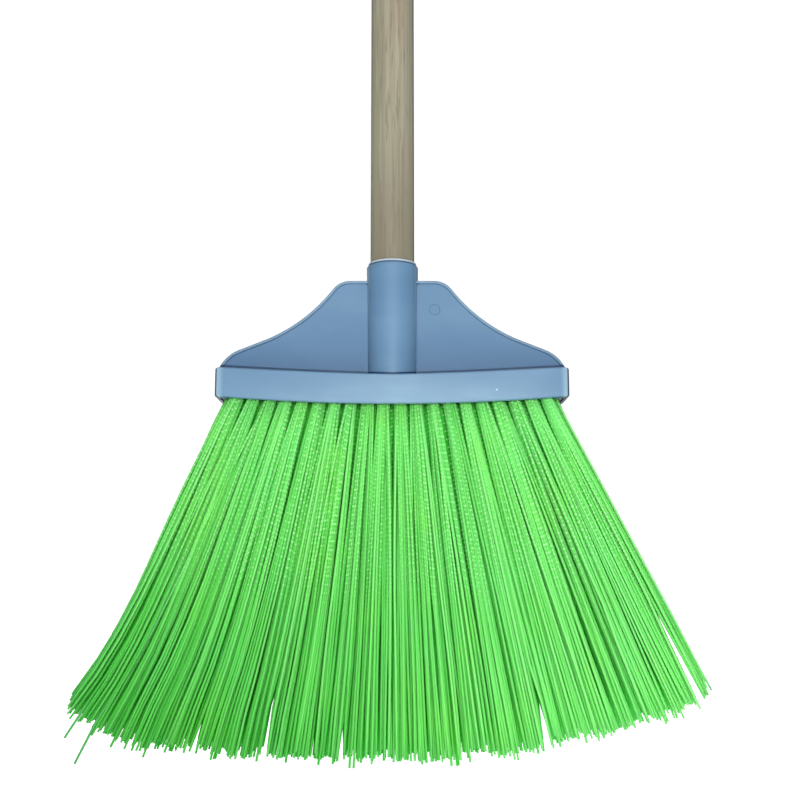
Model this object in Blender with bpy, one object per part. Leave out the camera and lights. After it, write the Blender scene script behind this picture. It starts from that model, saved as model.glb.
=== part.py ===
"""Upright fan broom: a wooden handle pushed into a moulded head that holds three rows of tufts.

Metres, +Z up. The origin is at the bottom centre of the tuft tips, +X runs along the head,
and the front faces -Y.
"""
import math

import bmesh
import bpy
from mathutils import Matrix, Vector

GAP = 0.0003  # left between solids that touch or fit in each other
MERGE_DISTANCE = 1e-6

# Skirt: the curved band around the tuft block
SKIRT_BOTTOM_Z = 0.1775  # bottom edge, at the middle of the head
SKIRT_HEIGHT = 0.015
SKIRT_HALF_LENGTH = 0.0937
SKIRT_HALF_DEPTH = 0.0185  # at the middle
SKIRT_END_HALF_DEPTH = 0.0170
SKIRT_CORNER_RADIUS = 0.010
SKIRT_BOTTOM_RISE = 0.0035  # how much higher the ends lie than the middle
SKIRT_TOP_RISE = 0.0043
SKIRT_WALL = 0.0024
SKIRT_CHAMFER = 0.0010
DECK_THICKNESS = 0.0030
STRAIGHT_STATIONS = 14
CORNER_STATIONS = 5

# Wings: the plate on each side of the socket
WING_TOP = 0.0691  # above the skirt's bottom edge
WING_FLAT_END = 0.0229
WING_SHOULDER_RADIUS = 0.0115
WING_SHOULDER_TURN = 51.0
WING_SLOPE_LENGTH = 0.0035
WING_HOLLOW_RADIUS = 0.0870
WING_HOLLOW_TURN = -29.5
WING_RUN_LENGTH = 0.0133
WING_TIP_RADIUS = 0.0200
WING_TIP_TURN = 44.5
WING_HALF_THICKNESS = 0.0050
WING_RIM_WIDTH = 0.0020
WING_RIM_HEIGHT = 0.0008
WING_ROOT_DEPTH = 0.0080  # how far the plate reaches below the deck's face before it is cut
WING_ROOT_POINTS = 9

# Socket: the tapered tube that takes the handle
SOCKET_TOP = 0.0778  # above the skirt's bottom edge
SOCKET_MOUTH_RADIUS = 0.01405
SOCKET_FOOT_RADIUS = 0.01340
SOCKET_LIP_ROUND = 0.0006
SOCKET_ROOT_DEPTH = 0.0026  # how far the tube's outside reaches into the deck
SOCKET_SIDES = 32

# Handle
HANDLE_LENGTH = 1.200
HANDLE_RADIUS = 0.012
HANDLE_END_RADIUS = 0.0113  # at the bottom of the tapered end
HANDLE_DOME_RADIUS = 0.006
HANDLE_DOME_STEPS = 5
HANDLE_SIDES = 32
TAPER_ABOVE_MOUTH = 0.003

# Tufts
OUTER_ROW_COUNT = 20  # tufts in the front row, and in the back row
MIDDLE_ROW_COUNT = 21
TUFT_PITCH = 0.0086
ROW_SPACING = 0.0090
FAN_HEIGHT = 0.180  # the tufts' axes meet this far above the skirt
ROW_SPLAY = 0.062  # forward or backward lean of the outer rows, as a slope
TUFT_LENGTH = 0.1787  # from the block's face to the tip
TUFT_ROOT_RADIUS = 0.0034
TUFT_ROOT_DEPTH = 0.0085  # in the block
TUFT_TIP_HALF_DEPTH = 0.0096
TUFT_TIP_CLEARANCE = 0.0004  # each side, between neighbours at the tips
MIDDLE_TIP_OVERLAP = 0.0007  # each side, so that the middle row's tufts join
TUFT_TIP_SQUARENESS = 0.5
TUFT_SIDES = 8
HOLE_SIDES = 10
BLOCK_RECESS = 0.0015  # block's face above the skirt's bottom edge

# Colours, linear
BLUE_GREY = (0.202, 0.337, 0.503, 1.0)
BLOCK_BLUE = (0.150, 0.262, 0.405, 1.0)
PALE_WOOD = (0.370, 0.319, 0.225, 1.0)
LEAF_GREEN = (0.144, 0.610, 0.122, 1.0)


def clear_scene():
    """Remove every object."""
    for item in list(bpy.data.objects):
        bpy.data.objects.remove(item, do_unlink=True)


def material(name, colour, roughness):
    """Return a new Principled material."""
    made = bpy.data.materials.new(name)
    made.use_nodes = True
    shader = made.node_tree.nodes["Principled BSDF"]
    shader.inputs["Base Color"].default_value = colour
    shader.inputs["Roughness"].default_value = roughness
    shader.inputs["Metallic"].default_value = 0.0
    return made


def object_from(mesh_maker, name, finish=None):
    """Turn a bmesh into an object with outward normals."""
    bmesh.ops.recalc_face_normals(mesh_maker, faces=mesh_maker.faces)
    mesh = bpy.data.meshes.new(name)
    mesh_maker.to_mesh(mesh)
    mesh_maker.free()
    made = bpy.data.objects.new(name, mesh)
    bpy.context.scene.collection.objects.link(made)
    if finish:
        mesh.materials.append(finish)
    return made


def as_cutter(item):
    """Mark an object as a construction aid."""
    item.hide_render = True
    item.display_type = "WIRE"
    return item


def boolean(item, other, operation):
    """Add an exact Boolean to an object."""
    step = item.modifiers.new(operation.lower() + "_" + other.name, "BOOLEAN")
    step.operation = operation
    step.solver = "EXACT"
    step.object = as_cutter(other)


def loft(rings):
    """Return a closed bmesh through rings of equal point counts, capped at both ends."""
    made = bmesh.new()
    rows = [[made.verts.new(point) for point in ring] for ring in rings]
    for low, high in zip(rows, rows[1:]):
        for i in range(len(low)):
            j = (i + 1) % len(low)
            made.faces.new((low[i], low[j], high[j], high[i]))
    made.faces.new(list(reversed(rows[0])))
    made.faces.new(rows[-1])
    return made


def circle(radius, z, sides):
    """Return a ring of points about the Z axis."""
    angles = [2 * math.pi * i / sides for i in range(sides)]
    return [Vector((radius * math.cos(a), radius * math.sin(a), z)) for a in angles]


def turned(profile, sides):
    """Return a closed bmesh turned about Z from (radius, z) pairs that run upwards."""
    return loft([circle(radius, z, sides) for radius, z in profile])


def skirt_rise(x, rise):
    """Return how much the skirt's curve lifts an edge at x."""
    return rise * (x / SKIRT_HALF_LENGTH) ** 2


def skirt_bottom(x):
    """Return the height of the skirt's bottom edge at x."""
    return SKIRT_BOTTOM_Z + skirt_rise(x, SKIRT_BOTTOM_RISE)


def skirt_top(x):
    """Return the height of the deck's upper face at x."""
    return SKIRT_BOTTOM_Z + SKIRT_HEIGHT + skirt_rise(x, SKIRT_TOP_RISE)


def skirt_half_depth(x, inset):
    """Return half the depth at x of the skirt's plan outline, moved inwards by inset."""
    radius = SKIRT_CORNER_RADIUS - inset
    corner = SKIRT_HALF_LENGTH - SKIRT_CORNER_RADIUS
    bulge = (SKIRT_HALF_DEPTH - SKIRT_END_HALF_DEPTH) * max(0.0, 1 - (x / corner) ** 2)
    into_corner = min(max(0.0, abs(x) - corner) / radius, 1.0)
    drop = radius * (1 - math.sqrt(1 - into_corner**2))
    return SKIRT_END_HALF_DEPTH - inset + bulge - drop


def skirt_stations(inset):
    """Return the x positions at which the skirt's plan outline is sampled."""
    corner = SKIRT_HALF_LENGTH - SKIRT_CORNER_RADIUS
    radius = SKIRT_CORNER_RADIUS - inset
    steps = range(1, CORNER_STATIONS + 1)
    rounded = [corner + radius * math.sin(0.5 * math.pi * i / CORNER_STATIONS) for i in steps]
    middle = [corner * (2 * i / STRAIGHT_STATIONS - 1) for i in range(STRAIGHT_STATIONS + 1)]
    return [-x for x in reversed(rounded)] + middle + rounded


def skirt_solid(inset, lift, headroom, chamfer):
    """Return the skirt's plan outline as a solid that follows its curve.

    lift raises the bottom face, headroom lowers the top face, chamfer cuts the top edges.
    """
    rings = []
    for x in skirt_stations(inset):
        depth = skirt_half_depth(x, inset)
        low = skirt_bottom(x) + lift
        high = skirt_top(x) - headroom
        ring = [(depth, low), (depth, high - chamfer), (depth - chamfer, high)]
        ring += [(-y, z) for y, z in reversed(ring)]
        rings.append([Vector((x, y, z)) for y, z in ring])
    made = loft(rings)
    bmesh.ops.remove_doubles(made, verts=made.verts, dist=MERGE_DISTANCE)
    return made


def walk(start, moves):
    """Follow lines and arcs from start and return the points.

    moves holds (length, 0) for a line and (radius, turn in degrees) for an arc; a positive
    turn steers downwards. The walk sets out along +X.
    """
    points = [Vector(start)]
    heading = 0.0
    for size, turn in moves:
        steps = max(1, round(abs(turn) / 6))
        part = math.radians(turn) / steps
        length = size if turn == 0 else 2 * size * math.sin(abs(part) / 2)
        for _ in range(steps):
            heading += part / 2
            step = Vector((math.cos(heading), -math.sin(heading))) * length
            points.append(points[-1] + step)
            heading += part / 2
    return points


def wing_outline():
    """Return the right half of the wings' upper outline as (x, z) points from the middle."""
    top = SKIRT_BOTTOM_Z + WING_TOP
    moves = [
        (WING_SHOULDER_RADIUS, WING_SHOULDER_TURN),
        (WING_SLOPE_LENGTH, 0),
        (WING_HOLLOW_RADIUS, WING_HOLLOW_TURN),
        (WING_RUN_LENGTH, 0),
        (WING_TIP_RADIUS, WING_TIP_TURN),
    ]
    return walk((WING_FLAT_END, top), moves)


def wing_plate():
    """Return both wings as one plate, with a raised rim along the outline on both faces."""
    right = wing_outline()
    reach = right[-1].x
    bottom = []
    for i in range(WING_ROOT_POINTS):
        x = reach * (1 - 2 * i / (WING_ROOT_POINTS - 1))
        bottom.append(Vector((x, skirt_top(x) - WING_ROOT_DEPTH)))
    left = [Vector((-p.x, p.y)) for p in reversed(right)]
    made = bmesh.new()
    border = [made.verts.new((p.x, -WING_HALF_THICKNESS, p.y)) for p in right + bottom + left]
    front = made.faces.new(border)
    pulled = bmesh.ops.extrude_face_region(made, geom=[front], use_keep_orig=True)
    moved = [v for v in pulled["geom"] if isinstance(v, bmesh.types.BMVert)]
    bmesh.ops.translate(made, verts=moved, vec=(0, 2 * WING_HALF_THICKNESS, 0))
    bmesh.ops.recalc_face_normals(made, faces=made.faces)
    sides = [f for f in made.faces if abs(f.normal.y) > 0.9]
    bmesh.ops.inset_region(
        made,
        faces=sides,
        thickness=WING_RIM_WIDTH,
        depth=-WING_RIM_HEIGHT,
        use_even_offset=True,
    )
    return made


def bore_radius(z):
    """Return the socket's inner radius at height z, which follows the handle's taper."""
    mouth = SKIRT_BOTTOM_Z + SOCKET_TOP
    bottom = skirt_top(0)
    along = (z - bottom) / (mouth + TAPER_ABOVE_MOUTH - bottom)
    return HANDLE_END_RADIUS + (HANDLE_RADIUS - HANDLE_END_RADIUS) * along + GAP


def socket_solid():
    """Return the socket's outer shape, with a rounded lip."""
    mouth = SKIRT_BOTTOM_Z + SOCKET_TOP
    profile = [
        (SOCKET_FOOT_RADIUS, skirt_top(0) - SOCKET_ROOT_DEPTH),
        (SOCKET_MOUTH_RADIUS, mouth - SOCKET_LIP_ROUND),
        (SOCKET_MOUTH_RADIUS - SOCKET_LIP_ROUND, mouth),
    ]
    return turned(profile, SOCKET_SIDES)


def socket_bore():
    """Return the cutter for the socket's blind tapered bore."""
    bottom = skirt_top(0)
    above = SKIRT_BOTTOM_Z + SOCKET_TOP + TAPER_ABOVE_MOUTH
    return turned([(bore_radius(bottom), bottom), (bore_radius(above), above)], HANDLE_SIDES)


def make_head(finish):
    """Build the moulded head: skirt, deck, wings and socket in one body."""
    head = object_from(skirt_solid(0.0, 0.0, 0.0, SKIRT_CHAMFER), "head", finish)
    pocket = object_from(
        skirt_solid(SKIRT_WALL, -DECK_THICKNESS, DECK_THICKNESS, 0.0), "skirt_pocket"
    )
    boolean(head, object_from(wing_plate(), "wing_plate"), "UNION")
    boolean(head, object_from(socket_solid(), "socket_wall"), "UNION")
    boolean(head, pocket, "DIFFERENCE")
    boolean(head, object_from(socket_bore(), "socket_bore"), "DIFFERENCE")


def make_handle(finish):
    """Build the handle: a dowel with a tapered lower end and a domed top."""
    bottom = skirt_top(0) + GAP
    taper_top = SKIRT_BOTTOM_Z + SOCKET_TOP + TAPER_ABOVE_MOUTH
    top = bottom + HANDLE_LENGTH
    profile = [(HANDLE_END_RADIUS, bottom), (HANDLE_RADIUS, taper_top)]
    for i in range(HANDLE_DOME_STEPS + 1):
        angle = 0.5 * math.pi * i / HANDLE_DOME_STEPS
        inwards = HANDLE_DOME_RADIUS * (1 - math.cos(angle))
        down = HANDLE_DOME_RADIUS * (1 - math.sin(angle))
        profile.append((HANDLE_RADIUS - inwards, top - down))
    made = turned(profile, HANDLE_SIDES)
    bmesh.ops.translate(made, verts=made.verts, vec=(0, 0, -bottom))
    handle = object_from(made, "handle", finish)
    handle.location.z = bottom


def tuft_frame(x, row):
    """Return the transform of a tuft: its origin on the block's face, its -Z along the tuft."""
    y = row * ROW_SPACING
    foot = Vector((x, y, skirt_bottom(x) + BLOCK_RECESS))
    down = Vector((x / FAN_HEIGHT, row * ROW_SPLAY, -1)).normalized()
    side = Vector((1, 0, x / FAN_HEIGHT)).normalized()
    back = (-down).cross(side).normalized()
    turn = Matrix((side, back, -down)).transposed().to_4x4()
    return Matrix.Translation(foot) @ turn


def tuft_ring(half_width, half_depth, z, squareness):
    """Return one ring of a tuft in its own frame; squareness 1 is an ellipse, less is squarer."""
    ring = []
    for i in range(TUFT_SIDES):
        angle = 2 * math.pi * i / TUFT_SIDES
        across = math.cos(angle)
        deep = math.sin(angle)
        x = half_width * math.copysign(abs(across) ** squareness, across)
        y = half_depth * math.copysign(abs(deep) ** squareness, deep)
        ring.append(Vector((x, y, z)))
    return ring


def tip_spacing(x):
    """Return the distance between neighbouring tufts' axes at their tips."""
    reach = math.hypot(FAN_HEIGHT, x) + TUFT_LENGTH
    turn = TUFT_PITCH * FAN_HEIGHT / (FAN_HEIGHT**2 + x**2)
    return reach * turn


def tuft_solid(x, growth):
    """Return the tuft at x in its own frame: a round root that widens to a squarer tip.

    growth is added to the half width at the tip that would just meet its neighbours.
    """
    tip_half_width = tip_spacing(x) / 2 + growth
    rings = [
        tuft_ring(tip_half_width, TUFT_TIP_HALF_DEPTH, -TUFT_LENGTH, TUFT_TIP_SQUARENESS),
        tuft_ring(TUFT_ROOT_RADIUS, TUFT_ROOT_RADIUS, 0, 1),
        tuft_ring(TUFT_ROOT_RADIUS, TUFT_ROOT_RADIUS, TUFT_ROOT_DEPTH, 1),
    ]
    return loft(rings)


def row_places(count):
    """Return the x position of each tuft in a row, from left to right."""
    return [(i - (count - 1) / 2) * TUFT_PITCH for i in range(count)]


def flex_pivot():
    """Return the empty on the line about which the bristles bend, where they leave the skirt."""
    pivot = bpy.data.objects.new("bristle_flex_pivot", None)
    bpy.context.scene.collection.objects.link(pivot)
    pivot.location.z = SKIRT_BOTTOM_Z
    return pivot


def hang(tuft, frame, pivot):
    """Place a tuft and parent it to the pivot."""
    tuft.parent = pivot
    tuft.matrix_basis = Matrix.Translation((0, 0, -SKIRT_BOTTOM_Z)) @ frame


def make_outer_row(name, row, pivot, finish):
    """Build one outer row, each tuft in its own node; row is -1 for the front, 1 for the back."""
    for number, x in enumerate(row_places(OUTER_ROW_COUNT), 1):
        solid = tuft_solid(x, -TUFT_TIP_CLEARANCE)
        tuft = object_from(solid, f"{name}_tuft_{number:02d}", finish)
        hang(tuft, tuft_frame(x, row), pivot)


def make_middle_row(pivot, finish):
    """Build the middle row: tufts apart at the block that grow together towards the tips."""
    places = row_places(MIDDLE_ROW_COUNT)
    first = object_from(tuft_solid(places[0], MIDDLE_TIP_OVERLAP), "middle_tufts", finish)
    hang(first, tuft_frame(places[0], 0), pivot)
    for number, x in enumerate(places[1:], 2):
        tuft = object_from(tuft_solid(x, MIDDLE_TIP_OVERLAP), f"middle_tuft_{number:02d}")
        tuft.matrix_world = tuft_frame(x, 0)
        boolean(first, tuft, "UNION")


def hole_cutters():
    """Return one cutter that holds every tuft hole."""
    rows = ((-1, OUTER_ROW_COUNT), (0, MIDDLE_ROW_COUNT), (1, OUTER_ROW_COUNT))
    radius = (TUFT_ROOT_RADIUS + GAP) / math.cos(math.pi / HOLE_SIDES)
    made = bmesh.new()
    for row, count in rows:
        for x in row_places(count):
            bmesh.ops.create_cone(
                made,
                cap_ends=True,
                segments=HOLE_SIDES,
                radius1=radius,
                radius2=radius,
                depth=2 * (TUFT_ROOT_DEPTH + GAP),
                matrix=tuft_frame(x, row),
            )
    return object_from(made, "tuft_holes")


def make_block(finish):
    """Build the drilled block that fills the skirt."""
    solid = skirt_solid(SKIRT_WALL + GAP, BLOCK_RECESS, DECK_THICKNESS + GAP, 0.0)
    block = object_from(solid, "tuft_block", finish)
    boolean(block, hole_cutters(), "DIFFERENCE")


def shade(item):
    """Shade an object smooth, with its sharp edges kept."""
    item.data.shade_smooth()
    item.data.set_sharp_from_angle(angle=math.radians(35))


def main():
    """Build the broom."""
    clear_scene()
    plastic = material("head_plastic", BLUE_GREY, 0.45)
    block_plastic = material("block_plastic", BLOCK_BLUE, 0.55)
    wood = material("handle_wood", PALE_WOOD, 0.6)
    bristle = material("bristle", LEAF_GREEN, 0.4)
    make_handle(wood)
    make_head(plastic)
    make_block(block_plastic)
    pivot = flex_pivot()
    make_outer_row("front", -1, pivot, bristle)
    make_middle_row(pivot, bristle)
    make_outer_row("back", 1, pivot, bristle)
    for item in bpy.data.objects:
        if item.type == "MESH":
            shade(item)


main()
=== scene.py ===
"""Finished look of the upright fan broom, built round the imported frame.

Metres, +Z up. The origin is at the bottom centre of the bristle tips, +X runs along the head
and the front faces -Y. The handle, the moulded head and every tuft of filaments are modelled
here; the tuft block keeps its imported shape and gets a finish.
"""
import functools
import logging
import math
from collections.abc import Callable, Iterator
from contextlib import contextmanager
from dataclasses import dataclass, replace
from enum import Enum

import bmesh
import bpy
import numpy as np
from mathutils import Matrix, Vector


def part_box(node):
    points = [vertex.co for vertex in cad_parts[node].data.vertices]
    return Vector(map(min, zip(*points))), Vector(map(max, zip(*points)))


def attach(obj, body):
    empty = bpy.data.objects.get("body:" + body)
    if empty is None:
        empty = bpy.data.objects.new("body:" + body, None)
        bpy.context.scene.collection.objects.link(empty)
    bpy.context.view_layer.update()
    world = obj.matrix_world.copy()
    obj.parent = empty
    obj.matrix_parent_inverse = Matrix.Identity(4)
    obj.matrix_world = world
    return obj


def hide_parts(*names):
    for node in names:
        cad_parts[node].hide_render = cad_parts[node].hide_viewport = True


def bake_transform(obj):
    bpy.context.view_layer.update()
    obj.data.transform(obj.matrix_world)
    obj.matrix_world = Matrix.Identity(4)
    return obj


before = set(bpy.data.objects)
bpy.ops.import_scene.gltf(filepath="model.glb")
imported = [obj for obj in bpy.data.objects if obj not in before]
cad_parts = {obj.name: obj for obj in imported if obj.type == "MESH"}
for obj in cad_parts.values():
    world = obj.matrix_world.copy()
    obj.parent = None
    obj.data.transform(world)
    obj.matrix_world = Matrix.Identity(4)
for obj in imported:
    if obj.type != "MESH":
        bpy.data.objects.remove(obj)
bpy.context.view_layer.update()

LOG = logging.getLogger("broom")
PLACE_TOLERANCE = 1e-5  # how closely a point must lie at a station to belong to it
SEAM_TOLERANCE = 2e-6  # how close two points must be to be one
STRAND_MAP = "strand"  # UV map on the filaments: tone, then distance from the block
MERGE_TOLERANCE = 1e-6  # how closely a cutting plane may pass a point and still use it
SMALLEST = 1e-6  # keeps a divisor off zero
FACING = 0.9  # least part of a normal along an axis for a face to look that way
WHITE = (1.0, 1.0, 1.0)
HEAD_BLUE = (0.098, 0.196, 0.318)
HEAD_CLOUD = (0.116, 0.220, 0.346)
BLOCK_BLUE = (0.070, 0.150, 0.255)
BLOCK_CLOUD = (0.085, 0.175, 0.285)

Colour = tuple[float, float, float]
Point = tuple[float, float, float]
Signal = bpy.types.NodeSocket


# ---------------------------------------------------------------------------
# The modelling bench
# ---------------------------------------------------------------------------


def put_down_all() -> None:
    """Deselect every object."""
    bpy.ops.object.select_all(action="DESELECT")


def take_up(item: bpy.types.Object) -> None:
    """Select one object alone and make it active.

    Args:
        item: The object to work on.
    """
    put_down_all()
    item.select_set(True)
    bpy.context.view_layer.objects.active = item


def newest(name: str) -> bpy.types.Object:
    """Name the object that an operator has just added.

    Args:
        name: The new object's name.

    Returns:
        The object.
    """
    item = bpy.context.active_object
    item.name = name
    item.data.name = name
    return item


def add_solid(name: str, add: Callable[..., object], **settings: object) -> bpy.types.Object:
    """Add a primitive and take its place and size into its mesh.

    Args:
        name: The new object's name.
        add: The operator that adds it.
        settings: The operator's settings.

    Returns:
        The object.
    """
    put_down_all()
    add(**settings)
    item = newest(name)
    bpy.ops.object.transform_apply(location=True, rotation=True, scale=True)
    return item


@contextmanager
def open_mesh(item: bpy.types.Object) -> Iterator[None]:
    """Hold an object open in edit mode.

    Args:
        item: The object to edit.

    Yields:
        Nothing, while the object is open.
    """
    take_up(item)
    bpy.ops.object.mode_set(mode="EDIT")
    try:
        yield
    finally:
        bpy.ops.object.mode_set(mode="OBJECT")


def pick(kind: str, item: bpy.types.Object, test: Callable[..., bool]) -> int:
    """Select the parts of an open mesh that pass a test, and nothing else.

    Args:
        kind: "VERT", "EDGE" or "FACE".
        item: The open object.
        test: Says whether a bmesh vertex, edge or face is wanted.

    Returns:
        How many were selected.
    """
    bpy.ops.mesh.select_mode(type=kind)
    bpy.ops.mesh.select_all(action="DESELECT")
    mesh = bmesh.from_edit_mesh(item.data)
    parts = {"VERT": mesh.verts, "EDGE": mesh.edges, "FACE": mesh.faces}[kind]
    wanted = [part for part in parts if test(part)]
    for part in wanted:
        part.select_set(True)
    mesh.select_flush_mode()
    bmesh.update_edit_mesh(item.data)
    return len(wanted)


def raise_selected(by: Point) -> None:
    """Extrude what is selected and move it."""
    bpy.ops.mesh.extrude_region_move(TRANSFORM_OT_translate={"value": by})


def slice_all(place: Point, normal: Point) -> None:
    """Cut an edge loop through the whole open mesh.

    Args:
        place: A point of the cutting plane.
        normal: The plane's normal.
    """
    bpy.ops.mesh.select_all(action="SELECT")
    bpy.ops.mesh.bisect(plane_co=place, plane_no=normal, threshold=MERGE_TOLERANCE)


def apply_boolean(item: bpy.types.Object, tool: bpy.types.Object, operation: str) -> None:
    """Join a solid to an object or cut it away, and remove the solid.

    Args:
        item: The object that is kept.
        tool: The other solid.
        operation: "UNION" or "DIFFERENCE".
    """
    take_up(item)
    step = item.modifiers.new(tool.name, "BOOLEAN")
    step.operation = operation
    step.solver = "EXACT"
    step.object = tool
    bpy.ops.object.modifier_apply(modifier=step.name)
    bpy.data.objects.remove(tool, do_unlink=True)


def close_seams(item: bpy.types.Object) -> None:
    """Merge the points that cuts have left almost on top of each other, and fill what is open.

    Args:
        item: The object.
    """
    with open_mesh(item):
        bpy.ops.mesh.select_all(action="SELECT")
        bpy.ops.mesh.remove_doubles(threshold=SEAM_TOLERANCE)
        if pick("EDGE", item, lambda e: e.is_boundary):
            bpy.ops.mesh.fill()


def even_shading(item: bpy.types.Object, angle: float, flatness: int = 90) -> None:
    """Shade an object smooth below an angle, with flat faces kept flat.

    Args:
        item: The object.
        angle: Edges sharper than this, in degrees, stay crisp.
        flatness: How much the large faces weigh.
    """
    take_up(item)
    bpy.ops.object.shade_smooth_by_angle(angle=math.radians(angle))
    step = item.modifiers.new("weighted", "WEIGHTED_NORMAL")
    step.keep_sharp = True
    step.weight = flatness
    bpy.ops.object.modifier_apply(modifier=step.name)


def dress(item: bpy.types.Object, finish: bpy.types.Material) -> None:
    """Give an object one finish all over."""
    item.data.materials.clear()
    item.data.materials.append(finish)


def ride_on(item: bpy.types.Object, node: str) -> None:
    """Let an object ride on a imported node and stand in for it.

    Args:
        item: The object.
        node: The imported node.
    """
    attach(item, node)
    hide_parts(node)


# ---------------------------------------------------------------------------
# Finishes
# ---------------------------------------------------------------------------


@dataclass(frozen=True)
class Ramp:
    """Carries a value smoothly from one range to another."""

    start: float
    end: float
    at_start: float = 0.0
    at_end: float = 1.0


@dataclass(frozen=True)
class Stain:
    """A colour laid over another as a value goes from start to full."""

    colour: Colour
    start: float
    full: float
    share: float = 1.0


@dataclass(frozen=True)
class Noise:
    """A noise pattern: bumps per metre, octaves, and how much each axis is stretched."""

    scale: float
    detail: float
    stretch: tuple[float, float, float] = (1.0, 1.0, 1.0)


class Recipe:
    """A material's node tree, with short calls that add and wire its nodes."""

    def __init__(self, name: str) -> None:
        """Start a material with one Principled shader.

        Args:
            name: The material's name.
        """
        self.material = bpy.data.materials.new(name)
        self.material.use_nodes = True
        self.tree = self.material.node_tree
        self.shader = self.tree.nodes["Principled BSDF"]

    def wire(self, value: object, socket: Signal) -> None:
        """Feed a socket from another socket, or set it.

        Args:
            value: An output socket, a number or a colour.
            socket: The input socket.
        """
        if isinstance(value, Signal):
            self.tree.links.new(value, socket)
        elif isinstance(value, tuple) and len(value) == 3 and len(socket.default_value) == 4:
            socket.default_value = (*value, 1.0)
        else:
            socket.default_value = value

    def node(self, kind: str, **inputs: object) -> bpy.types.Node:
        """Add a node.

        Args:
            kind: The node's type name, without "ShaderNode".
            inputs: Values or sockets for its inputs, by name with _ for a space.

        Returns:
            The node.
        """
        made = self.tree.nodes.new("ShaderNode" + kind)
        for name, value in inputs.items():
            self.wire(value, made.inputs[name.replace("_", " ")])
        return made

    def maths(self, operation: str, first: object, second: object = 0.0) -> Signal:
        """Return the result of one sum.

        Args:
            operation: The Math node's operation.
            first: A number or socket.
            second: A number or socket.

        Returns:
            A value socket.
        """
        made = self.node("Math")
        made.operation = operation
        self.wire(first, made.inputs[0])
        self.wire(second, made.inputs[1])
        return made.outputs[0]

    def product(self, first: object, *others: object) -> Signal:
        """Return the product of some numbers or sockets."""
        return functools.reduce(functools.partial(self.maths, "MULTIPLY"), others, first)

    def total(self, first: object, *others: object) -> Signal:
        """Return the sum of some numbers or sockets."""
        return functools.reduce(functools.partial(self.maths, "ADD"), others, first)

    def distance(self, first: Signal, second: Signal, centre: tuple[float, float]) -> Signal:
        """Return how far a point lies from a centre, in a plane.

        Args:
            first: The point's first coordinate.
            second: Its second coordinate.
            centre: The centre.

        Returns:
            A value socket.
        """
        sides = (self.maths("SUBTRACT", *pair) for pair in zip((first, second), centre))
        return self.maths("SQRT", self.total(*(self.maths("POWER", side, 2.0) for side in sides)))

    def place(self, stretch: tuple[float, float, float] = (1.0, 1.0, 1.0)) -> Signal:
        """Return the object's own coordinates.

        Args:
            stretch: How much each axis is stretched.

        Returns:
            A vector socket.
        """
        coordinates = self.node("TexCoord").outputs["Object"]
        return self.node("Mapping", Vector=coordinates, Scale=stretch).outputs["Vector"]

    def axes(self) -> tuple[Signal, Signal, Signal]:
        """Return the object's own X, Y and Z as three values."""
        parts = self.node("SeparateXYZ", Vector=self.place()).outputs
        return parts["X"], parts["Y"], parts["Z"]

    def noise(self, noise: Noise) -> Signal:
        """Return a noise pattern as a value socket."""
        vector = self.place(noise.stretch)
        made = self.node("TexNoise", Scale=noise.scale, Detail=noise.detail, Vector=vector)
        return made.outputs["Fac"]

    def between(self, value: Signal, ramp: Ramp) -> Signal:
        """Return a value carried along a ramp.

        Args:
            value: The value.
            ramp: The ramp.

        Returns:
            A value socket.
        """
        made = self.node("MapRange")
        made.interpolation_type = "SMOOTHSTEP"
        settings = (value, ramp.start, ramp.end, ramp.at_start, ramp.at_end)
        for socket, setting in zip(made.inputs, settings):
            self.wire(setting, socket)
        return made.outputs[0]

    def blend(self, share: object, first: object, second: object) -> Signal:
        """Return a mix of two colours.

        Args:
            share: How much of the second, as a number or socket.
            first: A colour or socket.
            second: A colour or socket.

        Returns:
            A colour socket.
        """
        made = self.node("Mix")
        made.data_type = "RGBA"
        for index, value in ((0, share), (6, first), (7, second)):
            self.wire(value, made.inputs[index])
        return made.outputs[2]

    def stained(self, colour: object, value: Signal, stain: Stain) -> Signal:
        """Return a colour with a stain laid over it.

        Args:
            colour: The colour or socket below.
            value: What the stain follows.
            stain: The stain.

        Returns:
            A colour socket.
        """
        share = self.between(value, Ramp(stain.start, stain.full, 0.0, stain.share))
        return self.blend(share, colour, stain.colour)

    def scaled(self, colour: Signal, by: Signal) -> Signal:
        """Return a colour made lighter or darker.

        Args:
            colour: The colour.
            by: The factor.

        Returns:
            A colour socket.
        """
        made = self.node("VectorMath")
        made.operation = "SCALE"
        self.wire(colour, made.inputs["Vector"])
        self.wire(by, made.inputs["Scale"])
        return made.outputs["Vector"]

    def emboss(self, height: Signal, depth: float, strength: float) -> None:
        """Raise the surface by a height pattern.

        Args:
            height: The pattern.
            depth: How far its full range stands out, in metres.
            strength: Strength of the effect.
        """
        bump = self.node("Bump", Height=height, Distance=depth, Strength=strength)
        self.wire(bump.outputs["Normal"], self.shader.inputs["Normal"])

    def finished(self, colour: Signal, roughness: object, specular: float) -> bpy.types.Material:
        """Feed the shader and return the material.

        Args:
            colour: Its colour.
            roughness: A number or socket.
            specular: Specular level.

        Returns:
            The material.
        """
        self.wire(colour, self.shader.inputs["Base Color"])
        self.wire(roughness, self.shader.inputs["Roughness"])
        self.wire(specular, self.shader.inputs["Specular IOR Level"])
        return self.material


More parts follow.
